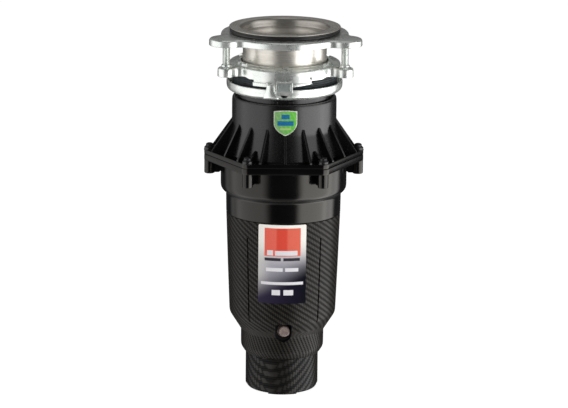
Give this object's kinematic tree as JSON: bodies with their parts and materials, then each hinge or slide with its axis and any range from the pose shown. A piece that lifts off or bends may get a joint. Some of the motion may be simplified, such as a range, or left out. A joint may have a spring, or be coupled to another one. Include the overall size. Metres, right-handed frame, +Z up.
{
  "type": "kitchen garbage disposal",
  "caption": "Under-sink food waste disposer with a three-screw sink mount, ribbed black hopper, grinding chamber, side outlet elbow and carbon-patterned motor shell.",
  "frame": {"origin": "centre of the flat base, on the vertical axis of the motor", "axes": "+Z up along the motor axis towards the sink, -Y towards the label and reset button, +Y towards the outlet"},
  "size_m": [0.1646, 0.2049, 0.3811],
  "materials": {
    "stainless": "spun and satin polished stainless steel",
    "zinc": "bright zinc plated pressed steel",
    "steel": "ground or drawn steel",
    "screw_steel": "black oxide steel",
    "aluminium": "die cast aluminium",
    "rubber": "moulded black rubber",
    "gloss_black": "glossy black moulded plastic",
    "hopper_black": "satin black moulded plastic",
    "carbon_print": "black shell with a printed carbon twill under clear lacquer",
    "black_plastic": "matt black moulded plastic",
    "button": "pale pinkish grey moulded plastic",
    "label": "printed and laminated label",
    "badge": "printed badge with a silver border",
    "foam": "grey closed cell foam",
    "copper": "enamelled copper",
    "brush_carbon": "pressed carbon",
    "ferrite": "sintered ferrite",
    "circuit": "coated circuit board"
  },
  "bodies": {
    "housing": {"sink_flange": "stainless", "mounting_flange": "zinc", "snap_ring": "steel", "cushion_mount": "rubber", "hopper": "hopper_black", "grind_housing": "gloss_black", "housing_gasket": "rubber", "shredder_ring": "stainless", "shaft_seal": "rubber", "elbow_gasket": "rubber", "elbow_clamp_flange": "zinc", "motor_can": "zinc", "lower_end_frame": "aluminium", "trim_shell": "carbon_print", "base_cap": "carbon_print", "sound_insulation": "foam", "reset_switch": "black_plastic", "rectifier_board": "circuit", "cord_gland": "black_plastic", "label_plate": "label", "shield_badge": "badge", "housing_screw_1": "screw_steel", "housing_screw_2": "screw_steel", "housing_screw_3": "screw_steel", "housing_screw_4": "screw_steel", "housing_screw_5": "screw_steel", "housing_screw_6": "screw_steel", "elbow_screw_1": "steel", "magnet_1": "ferrite", "brush_holder_1": "aluminium", "brush_spring_1": "steel", "elbow_screw_2": "steel", "magnet_2": "ferrite", "brush_holder_2": "aluminium", "brush_spring_2": "steel", "upper_bearing_outer": "steel", "lower_bearing_outer": "steel"},
    "rotor": {"shaft": "steel", "turntable": "stainless", "turntable_nut": "stainless", "impeller_pin_1": "stainless", "impeller_pin_2": "stainless", "upper_bearing_inner": "steel", "lower_bearing_inner": "steel", "armature_core": "steel", "armature_windings": "copper", "commutator": "copper"},
    "impeller_1_body": {"impeller_1": "stainless"},
    "impeller_2_body": {"impeller_2": "stainless"},
    "lock_ring_body": {"lock_ring": "zinc"},
    "clamp_plate": {"support_flange": "zinc", "sink_gasket": "rubber"},
    "mount_screw_1_body": {"mount_screw_1": "zinc"},
    "mount_screw_2_body": {"mount_screw_2": "zinc"},
    "mount_screw_3_body": {"mount_screw_3": "zinc"},
    "splash_guard_body": {"splash_guard": "rubber"},
    "reset_button_body": {"reset_button": "button"},
    "brush_1_body": {"brush_1": "brush_carbon"},
    "brush_2_body": {"brush_2": "brush_carbon"},
    "elbow": {"discharge_elbow": "black_plastic"}
  },
  "joints": [
    {"name": "rotor_spin", "type": "hinge", "parent": "housing", "child": "rotor", "pos_m": [0, 0, 0.15], "axis": [0, 0, 1], "continuous": true},
    {"name": "impeller_1_swivel", "type": "hinge", "parent": "rotor", "child": "impeller_1_body", "pos_m": [0.036, 0, 0.231], "axis": [0, 0, 1], "continuous": true},
    {"name": "impeller_2_swivel", "type": "hinge", "parent": "rotor", "child": "impeller_2_body", "pos_m": [-0.036, 0, 0.231], "axis": [0, 0, 1], "continuous": true},
    {"name": "lock_ring_turn", "type": "hinge", "parent": "housing", "child": "lock_ring_body", "pos_m": [0, 0, 0.32], "axis": [0, 0, 1], "range_deg": [0, 36]},
    {"name": "clamp_slide", "type": "slide", "parent": "housing", "child": "clamp_plate", "axis": [0, 0, 1], "range_m": [-0.012, 0]},
    {"name": "mount_screw_1_turn", "type": "hinge", "parent": "clamp_plate", "child": "mount_screw_1_body", "pos_m": [-0.06002, -0.03465, 0.35], "axis": [0, 0, 1], "continuous": true},
    {"name": "mount_screw_2_turn", "type": "hinge", "parent": "clamp_plate", "child": "mount_screw_2_body", "pos_m": [0.06002, -0.03465, 0.35], "axis": [0, 0, 1], "continuous": true},
    {"name": "mount_screw_3_turn", "type": "hinge", "parent": "clamp_plate", "child": "mount_screw_3_body", "pos_m": [0, 0.0693, 0.35], "axis": [0, 0, 1], "continuous": true},
    {"name": "splash_guard_lift", "type": "slide", "parent": "housing", "child": "splash_guard_body", "axis": [0, 0, 1], "range_m": [0, 0.07]},
    {"name": "reset_button_press", "type": "slide", "parent": "housing", "child": "reset_button_body", "axis": [0, 1, 0], "range_m": [0, 0.003], "stiffness_N_per_m": 300, "springref_m": -0.002},
    {"name": "brush_1_feed", "type": "slide", "parent": "housing", "child": "brush_1_body", "axis": [1, 0, 0], "range_m": [0, 0.004], "stiffness_N_per_m": 250, "springref_m": -0.008, "deforming": ["brush_spring_1"]},
    {"name": "brush_2_feed", "type": "slide", "parent": "housing", "child": "brush_2_body", "axis": [-1, 0, 0], "range_m": [0, 0.004], "stiffness_N_per_m": 250, "springref_m": -0.008, "deforming": ["brush_spring_2"]},
    {"name": "elbow_swivel", "type": "hinge", "parent": "housing", "child": "elbow", "pos_m": [0, 0.08, 0.207], "axis": [0, 1, 0], "range_deg": [-90, 90]}
  ],
  "couplings": [
    {"joint": "mount_screw_1_turn", "follows": "clamp_slide", "rad_per_m": 5026.5},
    {"joint": "mount_screw_2_turn", "follows": "clamp_slide", "rad_per_m": 5026.5},
    {"joint": "mount_screw_3_turn", "follows": "clamp_slide", "rad_per_m": 5026.5}
  ]
}
